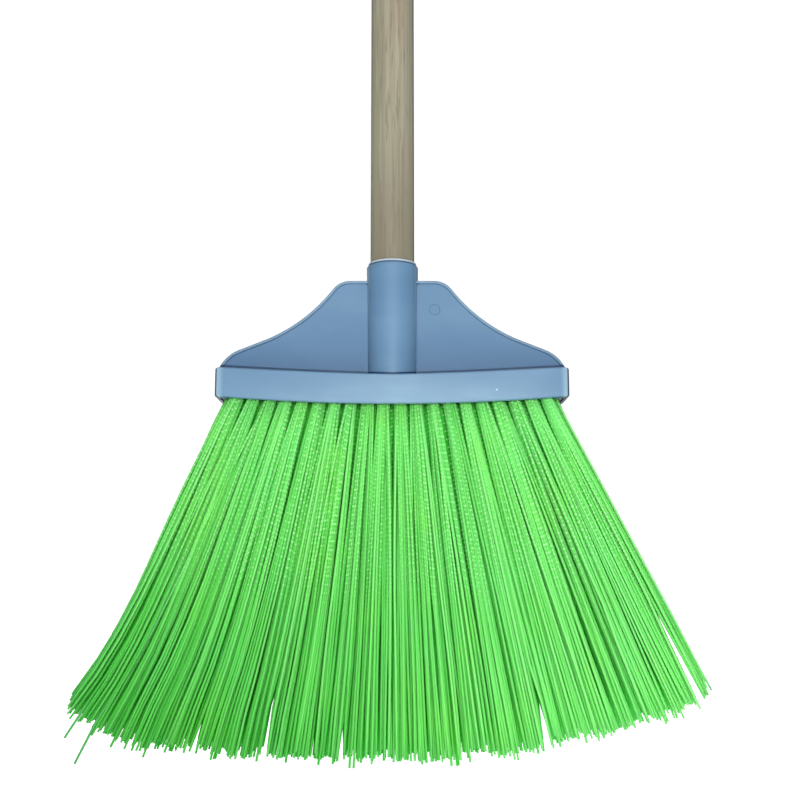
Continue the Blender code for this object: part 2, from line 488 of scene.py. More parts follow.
@dataclass(frozen=True)
class WoodFinish:
    """Pale unvarnished dowel wood with its grain along Z."""

    name: str = "dowel_wood"
    body: Colour = (0.290, 0.265, 0.192)
    dark: Colour = (0.165, 0.142, 0.098)
    fibre: Noise = Noise(950.0, 3.0, (1.0, 1.0, 0.018))
    band: Noise = Noise(150.0, 2.0, (1.0, 1.0, 0.045))
    patch: Noise = Noise(70.0, 1.0, (1.0, 1.0, 0.12))
    pore: Noise = Noise(900.0, 1.0, (1.0, 1.0, 0.070))
    pale_band: Stain = Stain((0.345, 0.320, 0.240), 0.30, 0.70)
    pink_patch: Stain = Stain((0.310, 0.232, 0.175), 0.50, 0.68, 0.65)
    green_patch: Stain = Stain((0.240, 0.252, 0.168), 0.50, 0.34, 0.60)
    dark_fibre: Stain = Stain((0.165, 0.142, 0.098), 0.50, 0.72, 0.40)
    pale_fibre: Stain = Stain((0.345, 0.320, 0.240), 0.46, 0.28, 0.35)
    dark_pore: Stain = Stain((0.165, 0.142, 0.098), 0.58, 0.68, 0.55)
    # Darker towards the foot of the dowel.
    darker_foot: Stain = Stain((0.165, 0.142, 0.100), 0.345, 0.262, 0.72)
    # Painted shade: the dowel turns greener and darker where its surface is seen edge-on.
    side_shade_tint: Stain = Stain((0.240, 0.252, 0.168), 0.12, 0.45, 0.45)
    edge_shade: Stain = Stain((0.066, 0.072, 0.058), 0.58, 0.88, 0.85)
    pith: tuple[float, float] = (0.034, 0.052)
    ring_pitch: float = 0.0021
    ring_wander: float = 3.2
    ring_rise: Ramp = Ramp(0.35, 0.92)
    ring_fall: Ramp = Ramp(0.93, 1.0, 1.0, 0.0)
    ring_share: float = 0.42
    roughness: Ramp = Ramp(0.3, 0.7, 0.52, 0.68)
    relief: float = 0.00010
    relief_strength: float = 0.6
    specular: float = 0.3

    def make(self) -> bpy.types.Material:
        """Return the wood material."""
        recipe = Recipe(self.name)
        fibres, bands, patches, pores = (
            recipe.noise(noise) for noise in (self.fibre, self.band, self.patch, self.pore)
        )
        height = recipe.axes()[2]
        # painted shade on the dowel's sides seen edge-on
        edge_on = recipe.node("LayerWeight").outputs["Facing"]
        colour = recipe.stained(self.body, bands, self.pale_band)
        colour = recipe.stained(colour, patches, self.pink_patch)
        colour = recipe.stained(colour, patches, self.green_patch)
        rings = recipe.product(self.rings(recipe, bands), self.ring_share)
        colour = recipe.blend(rings, colour, self.dark)
        for value, stain in (
            (fibres, self.dark_fibre),
            (fibres, self.pale_fibre),
            (pores, self.dark_pore),
            (height, self.darker_foot),
            (edge_on, self.side_shade_tint),
            (edge_on, self.edge_shade),
        ):
            colour = recipe.stained(colour, value, stain)
        recipe.emboss(fibres, self.relief, self.relief_strength)
        return recipe.finished(colour, recipe.between(fibres, self.roughness), self.specular)

    def rings(self, recipe: Recipe, sway: Signal) -> Signal:
        """Return the growth rings round a pith that lies outside the dowel.

        Args:
            recipe: The material being made.
            sway: Pattern that makes the rings wander.

        Returns:
            A value socket, 1 on the dark line of each ring.
        """
        x, y, _ = recipe.axes()
        wander = recipe.product(sway, self.ring_wander * self.ring_pitch)
        radius = recipe.total(recipe.distance(x, y, self.pith), wander)
        phase = recipe.maths("FRACT", recipe.maths("DIVIDE", radius, self.ring_pitch))
        return recipe.product(*(recipe.between(phase, r) for r in (self.ring_rise, self.ring_fall)))


@dataclass(frozen=True)
class MouldedFinish:
    """Moulded polypropylene with faint flow clouds and a fine satin texture."""

    name: str
    body: Colour
    cloud: Colour
    clouds: Noise = Noise(42.0, 3.0, (0.55, 1.0, 1.3))
    mottle: Noise = Noise(520.0, 2.0)
    grain: Noise = Noise(2600.0, 2.0)
    clouding: Ramp = Ramp(0.34, 0.68)
    mottling: Ramp = Ramp(0.45, 0.75, 0.0, 0.30)
    roughness: Ramp = Ramp(0.3, 0.7, 0.42, 0.54)
    relief: float = 0.000025
    relief_strength: float = 0.5
    specular: float = 0.28

    def make(self) -> bpy.types.Material:
        """Return the plastic material."""
        recipe = Recipe(self.name)
        clouds = recipe.noise(self.clouds)
        mottle = recipe.noise(self.mottle)
        colour = recipe.blend(recipe.between(clouds, self.clouding), self.body, self.cloud)
        colour = recipe.blend(recipe.between(mottle, self.mottling), colour, self.cloud)
        colour = self.marks(recipe, colour, clouds)
        recipe.emboss(recipe.noise(self.grain), self.relief, self.relief_strength)
        return recipe.finished(colour, recipe.between(mottle, self.roughness), self.specular)

    def marks(self, recipe: Recipe, colour: Signal, clouds: Signal) -> Signal:
        """Return the colour as it is, since plain mouldings carry no marks of their own."""
        return colour


@dataclass(frozen=True)
class HeadFinish(MouldedFinish):
    """The head's plastic, with painted shade towards the foot of the wings and painted highlights
    along the band.
    """

    # Painted shade: the wings darken towards their foot, where the band's ledge hides them from the
    # light.
    deep: Colour = (0.050, 0.128, 0.245)
    # Painted highlight: pale patches in the middle of the band, also laid on the skirt's rounded
    # ends.
    painted_highlight: Colour = (0.330, 0.500, 0.610)
    # Painted shade: a dark line where the deck meets the wings and the socket, and in every inside
    # corner.
    crevice_shade: Colour = (0.004, 0.034, 0.100)
    # Painted highlight: a paler line along the wings' raised rim.
    rim: Colour = (0.240, 0.345, 0.420)
    # Pale colour of the painted highlights on the gate mark and on the socket lip.
    worn: Colour = (0.480, 0.560, 0.600)
    wing_foot_shade: Ramp = Ramp(0.243, 0.194, 0.0, 0.85)
    wing_faces: Ramp = Ramp(0.0052, 0.0072, 1.0, 0.0)
    wing_rim_highlight: Ramp = Ramp(0.0046, 0.0049, 0.0, 0.42)
    band_face: Ramp = Ramp(-0.0120, -0.0155)
    band_height: Ramp = Ramp(0.1975, 0.1960)
    # Where the painted highlight lies on the band: round a middle, fading towards the ends and
    # upwards, in patches.
    highlight_middle: float = 0.012
    highlight_reach: Ramp = Ramp(0.086, 0.0, 0.08, 0.42)
    highlight_height: Ramp = Ramp(0.1933, 0.1790, 0.45, 1.0)
    highlight_patches: Ramp = Ramp(0.38, 0.62, 0.70, 1.0)
    # Painted light on the skirt's rounded ends, which otherwise turn into shade.
    ends: Ramp = Ramp(0.0878, 0.0925, 0.0, 0.85)
    lit_end_height: Ramp = Ramp(0.1985, 0.1970)
    # Painted highlight along the top of the socket lip.
    lip_highlight: Ramp = Ramp(0.25570, 0.25600, 0.0, 0.75)
    # Painted highlight: a pale speck at the gate mark on the band.
    gate: tuple[float, float] = (0.0549, 0.1848)
    gate_highlight: Ramp = Ramp(0.00070, 0.00028, 0.0, 0.8)
    skirt_half_length: float = 0.0937
    deck_height: float = 0.1933
    deck_rise: float = 0.0042
    deck_power: float = 1.4
    # Where the painted shade lies on the deck, against the wings and the socket.
    shade_front: float = 0.0185
    shade_slope: float = 0.18
    shade_height: Ramp = Ramp(0.00100, 0.00045, 0.0, 0.97)
    shade_depth: Ramp = Ramp(0.0150, 0.0142)
    shade_walls: Ramp = Ramp(0.5, 0.9, 1.0, 0.0)
    shade_near: Ramp = Ramp(0.0058, 0.0088, 0.70, 0.06)
    corner_reach: float = 0.0023
    corner_samples: int = 8
    corner_shade: Ramp = Ramp(0.84, 0.42, 0.0, 0.85)

    def marks(self, recipe: Recipe, colour: Signal, clouds: Signal) -> Signal:
        """Lay the head's painted shade and painted highlights over its colour.

        Args:
            recipe: The material being made.
            colour: The plain colour.
            clouds: The flow pattern.

        Returns:
            The marked colour.
        """
        x, y, z = recipe.axes()
        along = recipe.maths("ABSOLUTE", x)
        across = recipe.maths("ABSOLUTE", y)
        on_wings = recipe.between(across, self.wing_faces)
        on_band = recipe.product(
            recipe.between(y, self.band_face), recipe.between(z, self.band_height)
        )
        # painted highlight on the middle of the band
        aside = recipe.maths("ABSOLUTE", recipe.maths("SUBTRACT", x, self.highlight_middle))
        painted_highlight = recipe.product(
            recipe.between(aside, self.highlight_reach),
            recipe.between(z, self.highlight_height),
            recipe.between(clouds, self.highlight_patches),
            on_band,
        )
        # painted highlight at the gate mark
        gate = recipe.between(recipe.distance(x, z, self.gate), self.gate_highlight)
        # painted light on the skirt's rounded ends
        ends = recipe.product(recipe.between(along, self.ends), recipe.between(z, self.lit_end_height))
        for share, mark in (
            # painted shade towards the foot of the wings
            (recipe.product(recipe.between(z, self.wing_foot_shade), on_wings), self.deep),
            (painted_highlight, self.painted_highlight),
            (recipe.product(gate, on_band), self.worn),
            (ends, self.painted_highlight),
            # painted highlight on the wings' rim
            (recipe.product(recipe.between(across, self.wing_rim_highlight), on_wings), self.rim),
            # painted highlight on the socket lip
            (recipe.between(z, self.lip_highlight), self.worn),
            # painted shade on the deck and in the inside corners
            (self.ledge_shade(recipe, along, across, z), self.crevice_shade),
            (self.corners(recipe), self.crevice_shade),
        ):
            colour = recipe.blend(share, colour, mark)
        return colour

    def ledge_shade(self, recipe: Recipe, along: Signal, across: Signal, z: Signal) -> Signal:
        """Return the mask of the painted shade on the deck, against the wings and the socket.

        Args:
            recipe: The material being made.
            along: Distance from the head's middle, along it.
            across: Distance from the head's middle, across it.
            z: Height.

        Returns:
            A value socket.
        """
        share = recipe.maths("DIVIDE", along, self.skirt_half_length)
        rise = recipe.product(recipe.maths("POWER", share, self.deck_power), self.deck_rise)
        deck = recipe.total(rise, self.deck_height)
        shade_rise = recipe.product(recipe.maths("SUBTRACT", self.shade_front, across), self.shade_slope)
        height = recipe.maths("SUBTRACT", recipe.maths("SUBTRACT", z, deck), shade_rise)
        facing = recipe.node("NewGeometry").outputs["Normal"]
        upward = recipe.node("SeparateXYZ", Vector=facing).outputs["Z"]
        walls = recipe.between(upward, self.shade_walls)
        near = recipe.between(across, self.shade_near)
        return recipe.product(
            recipe.between(height, self.shade_height),
            recipe.between(across, self.shade_depth),
            recipe.maths("MAXIMUM", walls, near),
        )

    def corners(self, recipe: Recipe) -> Signal:
        """Return the mask of the painted shade in the inside corners, found by ambient occlusion.

        Args:
            recipe: The material being made.

        Returns:
            A value socket, 1 in the deepest corners.
        """
        shut = recipe.node("AmbientOcclusion", Distance=self.corner_reach)
        shut.samples = self.corner_samples
        shut.only_local = True
        return recipe.between(shut.outputs["AO"], self.corner_shade)


@dataclass(frozen=True)
class FilamentFinish:
    """Green broom fibre, crimped near the head and smooth towards the tips, with painted highlights
    and shade on the crimps.
    """

    name: str = "bristle_fibre"
    shade: Colour = (0.124, 0.610, 0.104)
    # Painted highlight on the crimp crests, also used for the painted light on the fan's right.
    glint: Colour = (0.460, 0.960, 0.410)
    # Painted shade in the crimp hollows.
    crimp_shade: Colour = (0.080, 0.560, 0.060)
    tip: Colour = (0.160, 0.380, 0.220)
    # Painted shade: a deep green for fibre behind the fan's faces and towards its lower left.
    shaded_green: Colour = (0.014, 0.640, 0.010)
    body: Stain = Stain((0.172, 0.715, 0.146), 0.0, 0.6)
    light: Stain = Stain((0.235, 0.810, 0.202), 0.5, 1.0)
    dye: Noise = Noise(46.0, 2.0, (1.0, 1.0, 0.6))
    yellowed: Stain = Stain((0.225, 0.780, 0.105), 0.52, 0.70, 0.30)
    cooled: Stain = Stain((0.170, 0.760, 0.205), 0.48, 0.30, 0.30)
    crimp_pitch: float = 0.0022
    fine_phase: float = 41.0
    fine_share: float = 0.70
    slow_phase: float = 23.0
    slow_share: float = 0.30
    crimped: Ramp = Ramp(0.080, 0.116, 1.0, 0.0)
    crimp_lots: float = 7.31
    crimp_strength: Ramp = Ramp(0.1, 0.9, 0.15, 1.0)
    crest: Ramp = Ramp(0.10, 0.95, 0.0, 0.72)
    hollow: Ramp = Ramp(0.1, -0.9, 0.0, 0.34)
    worn_tip: Ramp = Ramp(0.1725, 0.182, 0.0, 0.18)
    stray_tone: Ramp = Ramp(1.0, 1.1, 0.0, 0.8)
    stray_free: Ramp = Ramp(0.05, 0.15)
    block_height: float = 0.178
    face_at_block: float = 0.0128
    face_slope: float = 0.096
    tuft_depth: float = 0.0060
    depth_slope: float = 0.62
    depth_share: Ramp = Ramp(0.30, 1.0, 0.0, 0.82)
    edge_at_block: float = 0.0900
    edge_slope: float = 0.470
    edge_fade: Ramp = Ramp(0.90, 0.98, 1.0, 0.0)
    lowering: Ramp = Ramp(0.178, 0.0)
    # Painted shade grows towards the fan's lower left.
    shaded_side: Ramp = Ramp(0.11, -0.16, 0.0, 0.38)
    # Painted light grows towards the fan's right, more towards the tips.
    right_light_side: Ramp = Ramp(-0.02, 0.15, 0.0, 0.06)
    right_light_at_block: float = 0.6
    # Painted light and shade over the fan: brighter on the right, darker low on the left.
    falloff_side: Ramp = Ramp(-0.15, 0.15, -1.0, 1.0)
    falloff_low: tuple[float, float] = (0.17, -0.03)
    falloff_top: tuple[float, float] = (0.035, 0.925)
    relief: float = 0.00014
    relief_strength: float = 0.8
    roughness: float = 0.52
    specular: float = 0.06

    def make(self) -> bpy.types.Material:
        """Return the fibre material."""
        recipe = Recipe(self.name)
        strand = recipe.node("UVMap")
        strand.uv_map = STRAND_MAP
        parts = recipe.node("SeparateXYZ", Vector=strand.outputs["UV"]).outputs
        tone, along = parts["X"], parts["Y"]
        wave = self.crimp(recipe, tone, along)
        lot = recipe.maths("FRACT", recipe.product(tone, self.crimp_lots))
        held = recipe.product(
            recipe.between(along, self.crimped), recipe.between(lot, self.crimp_strength)
        )
        loose = recipe.product(
            recipe.between(tone, self.stray_tone), recipe.between(along, self.stray_free)
        )
        worn = recipe.maths("MAXIMUM", recipe.between(along, self.worn_tip), loose)
        colour = recipe.stained(self.shade, tone, self.body)
        colour = recipe.stained(colour, tone, self.light)
        for share, mark in (
            # painted shade on fibre behind the fan's faces
            (self.depth(recipe), self.shaded_green),
            # painted highlights on the crimp crests and painted shade in the hollows
            (recipe.product(recipe.between(wave, self.crest), held), self.glint),
            (recipe.product(recipe.between(wave, self.hollow), held), self.crimp_shade),
            (worn, self.tip),
        ):
            colour = recipe.blend(share, colour, mark)
        dye = recipe.noise(self.dye)
        colour = recipe.stained(colour, dye, self.yellowed)
        colour = recipe.stained(colour, dye, self.cooled)
        x, _, z = recipe.axes()
        # painted shade towards the fan's lower left
        low = recipe.between(z, self.lowering)
        left_shade = recipe.product(recipe.between(x, self.shaded_side), low)
        colour = recipe.blend(left_shade, colour, self.shaded_green)
        # painted light towards the fan's right
        right_light = recipe.total(low, self.right_light_at_block)
        right_light = recipe.product(right_light, recipe.between(x, self.right_light_side))
        colour = recipe.blend(right_light, colour, self.glint)
        # painted light and shade across the fan
        colour = recipe.scaled(colour, self.light_falloff(recipe, x, low))
        recipe.emboss(recipe.product(wave, held), self.relief, self.relief_strength)
        return recipe.finished(colour, self.roughness, self.specular)

    def depth(self, recipe: Recipe) -> Signal:
        """Return how much painted shade lies on fibre behind the fan's faces.

        Args:
            recipe: The material being made.

        Returns:
            A value socket, 0 on the faces.
        """
        x, y, z = recipe.axes()
        drop = recipe.maths("SUBTRACT", self.block_height, z)
        spread = recipe.product(drop, self.face_slope)
        face = recipe.total(spread, self.face_at_block)
        behind = recipe.maths("SUBTRACT", face, recipe.maths("ABSOLUTE", y))
        room = recipe.total(recipe.product(spread, self.depth_slope), self.tuft_depth)
        share = recipe.between(recipe.maths("DIVIDE", behind, room), self.depth_share)
        edge = recipe.total(recipe.product(drop, self.edge_slope), self.edge_at_block)
        aside = recipe.maths("DIVIDE", recipe.maths("ABSOLUTE", x), edge)
        return recipe.product(share, recipe.between(aside, self.edge_fade))

    def light_falloff(self, recipe: Recipe, x: Signal, low: Signal) -> Signal:
        """Return the painted light and shade over the fan: darkest at its lower left.

        Args:
            recipe: The material being made.
            x: Place along the fan.
            low: 0 at the block and 1 at the tips.

        Returns:
            A value socket near 1.
        """
        side = recipe.between(x, self.falloff_side)
        lean, top = (
            recipe.total(recipe.product(side, slope), level)
            for slope, level in (self.falloff_low, self.falloff_top)
        )
        return recipe.total(top, recipe.product(recipe.maths("POWER", low, 2.0), lean))

    def crimp(self, recipe: Recipe, tone: Signal, along: Signal) -> Signal:
        """Return the wave pressed into each filament.

        Args:
            recipe: The material being made.
            tone: The filament's own number, which also sets its phase.
            along: Distance from the block.

        Returns:
            A value socket from -1 to 1.
        """
        turns = recipe.product(along, math.tau / self.crimp_pitch)
        waves = []
        for angle, phase, share in (
            (turns, self.fine_phase, self.fine_share),
            (recipe.product(turns, 0.5), self.slow_phase, self.slow_share),
        ):
            shifted = recipe.total(angle, recipe.product(tone, phase))
            waves.append(recipe.product(recipe.maths("SINE", shifted), share))
        return recipe.total(*waves)


@dataclass(frozen=True)
class FloorFinish:
    """Plain pale studio floor."""

    name: str = "studio_floor"
    colour: Colour = (0.90, 0.90, 0.90)
    grain: Noise = Noise(6.0, 2.0)
    pale: Stain = Stain((0.93, 0.93, 0.93), 0.3, 0.7)
    glow: float = 0.45
    shown_glow: float = 0.95
    roughness: float = 0.9
    specular: float = 0.1

    def make(self) -> bpy.types.Material:
        """Return the floor material."""
        recipe = Recipe(self.name)
        colour = recipe.stained(self.colour, recipe.noise(self.grain), self.pale)
        seen = recipe.node("LightPath").outputs["Is Camera Ray"]
        glow = recipe.total(recipe.product(seen, self.shown_glow - self.glow), self.glow)
        recipe.wire(WHITE, recipe.shader.inputs["Emission Color"])
        recipe.wire(glow, recipe.shader.inputs["Emission Strength"])
        return recipe.finished(colour, self.roughness, self.specular)


# ---------------------------------------------------------------------------
# Handle
# ---------------------------------------------------------------------------


@dataclass
class Handle:
    """The wooden dowel that is pushed into the head."""

    sides: int = 72
    shaft_radius: float = 0.012
    foot_radius: float = 0.0113
    taper_end: float = 0.2583
    dome_radius: float = 0.006
    dome_steps: int = 7
    foot_chamfer: float = 0.0006
    crisp_angle: float = 40.0

    def build(self, finish: bpy.types.Material) -> bpy.types.Object:
        """Turn the dowel and dress it.

        Args:
            finish: The wood.

        Returns:
            The dowel.
        """
        low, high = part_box("handle")
        taper = self.taper_end - low.z
        dowel = add_solid(
            "handle_dowel",
            bpy.ops.mesh.primitive_cylinder_add,
            vertices=self.sides,
            radius=self.foot_radius,
            depth=taper,
            location=(0, 0, low.z + taper / 2),
        )
        growth = self.shaft_radius / self.foot_radius
        with open_mesh(dowel):
            pick("VERT", dowel, lambda v: v.co.z > self.taper_end - PLACE_TOLERANCE)
            bpy.ops.transform.resize(value=(growth, growth, 1))
            pick("FACE", dowel, lambda f: f.normal.z > FACING)
            raise_selected((0, 0, high.z - self.taper_end))
            bpy.ops.mesh.bevel(offset=self.dome_radius, segments=self.dome_steps, affect="EDGES")
            pick("FACE", dowel, lambda f: f.normal.z < -FACING)
            bpy.ops.mesh.bevel(offset=self.foot_chamfer, segments=1, affect="EDGES")
        even_shading(dowel, self.crisp_angle)
        dress(dowel, finish)
        ride_on(dowel, "handle")
        return dowel


# ---------------------------------------------------------------------------
# Head
# ---------------------------------------------------------------------------


@dataclass
class Skirt:
    """The curved band round the tuft block."""

    bottom: float = 0.1775
    height: float = 0.0158
    half_length: float = 0.0937
    end_half_depth: float = 0.0170
    bulge: float = 0.0015
    corner_radius: float = 0.006
    pocket_corner: float = 0.010
    corner_steps: int = 9
    plain_corner_steps: int = 2
    straight_steps: int = 28
    bottom_rise: float = 0.0043
    top_rise: float = 0.0042
    top_power: float = 1.4
    wall: float = 0.0024
    deck: float = 0.0030
    top_round: float = 0.0011
    top_round_steps: int = 4
    bottom_round: float = 0.0011
    bottom_round_steps: int = 3

    def bottom_at(self, x: float) -> float:
        """Return the height of the bottom edge at x."""
        return self.bottom + self.bottom_rise * (x / self.half_length) ** 2

    def top_at(self, x: float) -> float:
        """Return the height of the deck at x."""
        share = abs(x / self.half_length)
        return self.bottom + self.height + self.top_rise * share**self.top_power

    def stations(self, inset: float) -> list[float]:
        """Return the places along X where the plan is divided.

        Args:
            inset: How far the plan lies inside the skirt's outside face.

        Returns:
            The places, from left to right.
        """
        corner = self.half_length - self.corner_radius
        radius = self.corner_radius - inset
        divided = self.corner_steps - self.plain_corner_steps
        quarter = [math.pi / 2 * i / self.corner_steps for i in range(1, divided)]
        ends = [corner + radius * math.sin(angle) for angle in quarter]
        steps = self.straight_steps
        middle = [corner * (2 * i / steps - 1) for i in range(steps + 1)]
        return [-x for x in reversed(ends)] + middle + ends

    def solid(
        self, name: str, inset: float, lift: float, headroom: float, rounded: bool
    ) -> bpy.types.Object:
        """Model the skirt's plan as a closed solid that follows its curve.

        Args:
            name: The object's name.
            inset: How far the sides lie inside the outside face.
            lift: How far the underside is raised.
            headroom: How far the upper face is lowered.
            rounded: Whether its long edges are rounded.

        Returns:
            The solid.
        """
        low = self.bottom + lift
        high = self.bottom + self.height - headroom
        length = 2 * (self.half_length - inset)
        depth = 2 * (self.end_half_depth - inset)
        made = add_solid(name, bpy.ops.mesh.primitive_plane_add, size=1, location=(0, 0, low))
        places = self.stations(inset)
        with open_mesh(made):
            bpy.ops.mesh.select_all(action="SELECT")
            bpy.ops.transform.resize(value=(length, depth, 1))
            bpy.ops.mesh.bevel(
                offset=self.corner_radius - inset, segments=self.corner_steps, affect="VERTICES"
            )
            bpy.ops.mesh.select_mode(type="FACE")
            bpy.ops.mesh.select_all(action="SELECT")
            raise_selected((0, 0, high - low))
            bpy.ops.mesh.select_all(action="SELECT")
            bpy.ops.mesh.normals_make_consistent(inside=False)
            if rounded:
                self.round_rims(made)
            for x in places:
                slice_all((x, 0, low), (1, 0, 0))
            self.swell(made, places, inset)
            self.curve(made, (low + high) / 2)
        return made

    def swell(self, made: bpy.types.Object, places: list[float], inset: float) -> None:
        """Push the long sides out towards the middle.

        Args:
            made: The open plan.
            places: Its stations.
            inset: How far the plan lies inside the outside face.
        """
        corner = self.half_length - self.corner_radius
        for x in places:
            if abs(x) >= corner - PLACE_TOLERANCE:
                continue
            extra = self.bulge * (1 - (x / corner) ** 2)
            pick("VERT", made, lambda v, x=x: abs(v.co.x - x) < PLACE_TOLERANCE)
            growth = 1 + extra / (self.end_half_depth - inset)
            bpy.ops.transform.resize(value=(1, growth, 1))

    def curve(self, made: bpy.types.Object, middle: float) -> None:
        """Lift every station by the skirt's curve.

        Args:
            made: The open solid.
            middle: A height between its lower and upper points.
        """
        mesh = bmesh.from_edit_mesh(made.data)
        starts: list[float] = []
        for x in sorted(v.co.x for v in mesh.verts):
            if not starts or x > starts[-1] + PLACE_TOLERANCE:
                starts.append(x)
        for start, following in zip(starts, [*starts[1:], math.inf]):
            lower_rise = self.bottom_at(start) - self.bottom_at(0)
            upper_rise = self.top_at(start) - self.top_at(0)
            for upper, rise in ((False, lower_rise), (True, upper_rise)):
                pick(
                    "VERT",
                    made,
                    lambda v, low=start, high=following, upper=upper: low <= v.co.x < high
                    and (v.co.z > middle) == upper,
                )
                bpy.ops.transform.translate(value=(0, 0, rise))

    def round_rims(self, made: bpy.types.Object) -> None:
        """Round the upper and lower edges.

        Args:
            made: The open solid.
        """
        for up, size, steps in (
            (1, self.top_round, self.top_round_steps),
            (-1, self.bottom_round, self.bottom_round_steps),
        ):
            pick("EDGE", made, lambda e, up=up: self.is_rim(e, up))
            bpy.ops.mesh.bevel(offset=size, segments=steps, affect="EDGES")

    @staticmethod
    def is_rim(edge: bmesh.types.BMEdge, up: int) -> bool:
        """Return whether an edge joins the side wall to the face that looks up or down.

        Args:
            edge: The edge.
            up: 1 for the upper rim, -1 for the lower one.

        Returns:
            True for an edge of that rim.
        """
        if len(edge.link_faces) != 2:
            return False
        looks_up = [face.normal.z * up for face in edge.link_faces]
        return max(looks_up) > FACING and min(looks_up) < 1 - FACING


@dataclass
class Wings:
    """The plate on each side of the socket, with a raised rim."""

    top: float = 0.2468
    flat_end: float = 0.0229
    shoulder: tuple[float, float] = (0.0115, 51.0)
    slope: float = 0.0035
    hollow: tuple[float, float] = (0.0870, -29.5)
    run: float = 0.0133
    nose: tuple[float, float] = (0.0200, 44.5)
    half_thickness: float = 0.0050
    rim_width: float = 0.0014
    rim_step: float = 0.0003
    rim_height: float = 0.0009
    root_depth: float = 0.0080
    degrees_per_step: float = 3.0
    outer_round: float = 0.0006
    outer_round_steps: int = 3

    def solid(self, skirt: Skirt) -> bpy.types.Object:
        """Model both wings as one rimmed plate.

        Args:
            skirt: The skirt that the plate stands in.

        Returns:
            The plate.
        """
        plate = add_solid("wing_plate", bpy.ops.mesh.primitive_plane_add)
        with open_mesh(plate):
            bpy.ops.mesh.select_mode(type="VERT")
            bpy.ops.mesh.select_all(action="SELECT")
            bpy.ops.mesh.merge(type="CENTER")
            self.draw_outline(skirt)
            bpy.ops.mesh.select_all(action="SELECT")
            bpy.ops.mesh.remove_doubles(threshold=PLACE_TOLERANCE)
            bpy.ops.mesh.edge_face_add()
            raise_selected((0, 2 * self.half_thickness, 0))
            bpy.ops.mesh.select_all(action="SELECT")
            bpy.ops.mesh.normals_make_consistent(inside=False)
            pick("FACE", plate, self.is_middle)
            bpy.ops.mesh.delete(type="FACE")
        self.mirror(plate)
        with open_mesh(plate):
            pick("EDGE", plate, self.is_middle)
            bpy.ops.mesh.dissolve_edges()
            bpy.ops.mesh.select_all(action="SELECT")
            bpy.ops.mesh.normals_make_consistent(inside=False)
            pick("FACE", plate, lambda f: abs(f.normal.y) > FACING)
            for width, depth in ((self.rim_width, 0.0), (self.rim_step, -self.rim_height)):
                bpy.ops.mesh.inset(thickness=width, depth=depth, use_even_offset=True)
            pick("EDGE", plate, self.is_outer_corner)
            bpy.ops.mesh.bevel(
                offset=self.outer_round, segments=self.outer_round_steps, affect="EDGES"
            )
        return plate

    def draw_outline(self, skirt: Skirt) -> None:
        """Draw the right half of the outline from the single selected point.

        Args:
            skirt: The skirt that the plate stands in.
        """
        bpy.ops.transform.translate(value=(0, -self.half_thickness, self.top))
        raise_selected((self.flat_end, 0, 0))
        point = Vector((self.flat_end, -self.half_thickness, self.top))
        heading = 0.0
        for move in (self.shoulder, self.slope, self.hollow, self.run, self.nose):
            if isinstance(move, float):
                step = Vector((math.cos(heading), 0, -math.sin(heading))) * move
                raise_selected(tuple(step))
                point = point + step
                continue
            radius, turn = move
            side = Vector((-math.sin(heading), 0, -math.cos(heading)))
            centre = point + side * math.copysign(radius, turn)
            bpy.ops.mesh.spin(
                steps=round(abs(turn) / self.degrees_per_step),
                angle=-math.radians(turn),
                center=centre,
                axis=(0, 1, 0),
            )
            point = centre + Matrix.Rotation(math.radians(turn), 3, "Y") @ (point - centre)
            heading += math.radians(turn)
        low = skirt.top_at(point.x) - self.root_depth
        middle = skirt.top_at(0) - self.root_depth
        raise_selected((0, 0, low - point.z))
        raise_selected((-point.x, 0, middle - low))

    @staticmethod
    def is_middle(part: bmesh.types.BMFace | bmesh.types.BMEdge) -> bool:
        """Return whether a face or an edge lies in the plane between the wings."""
        return all(abs(v.co.x) < PLACE_TOLERANCE for v in part.verts)

    @staticmethod
    def mirror(plate: bpy.types.Object) -> None:
        """Make the left wing from the right one.

        Args:
            plate: The right half.
        """
        take_up(plate)
        step = plate.modifiers.new("left", "MIRROR")
        step.use_axis = (True, False, False)
        step.use_clip = True
        step.merge_threshold = PLACE_TOLERANCE
        bpy.ops.object.modifier_apply(modifier=step.name)

    def is_outer_corner(self, edge: bmesh.types.BMEdge) -> bool:
        """Return whether an edge lies on the plate's outside corner.

        Args:
            edge: The edge.

        Returns:
            True where the rim meets the plate's narrow side.
        """
        if len(edge.link_faces) != 2:
            return False
        aside = [abs(face.normal.y) for face in edge.link_faces]
        on_face = all(abs(abs(v.co.y) - self.half_thickness) < PLACE_TOLERANCE for v in edge.verts)
        return on_face and max(aside) > FACING and min(aside) < 1 - FACING


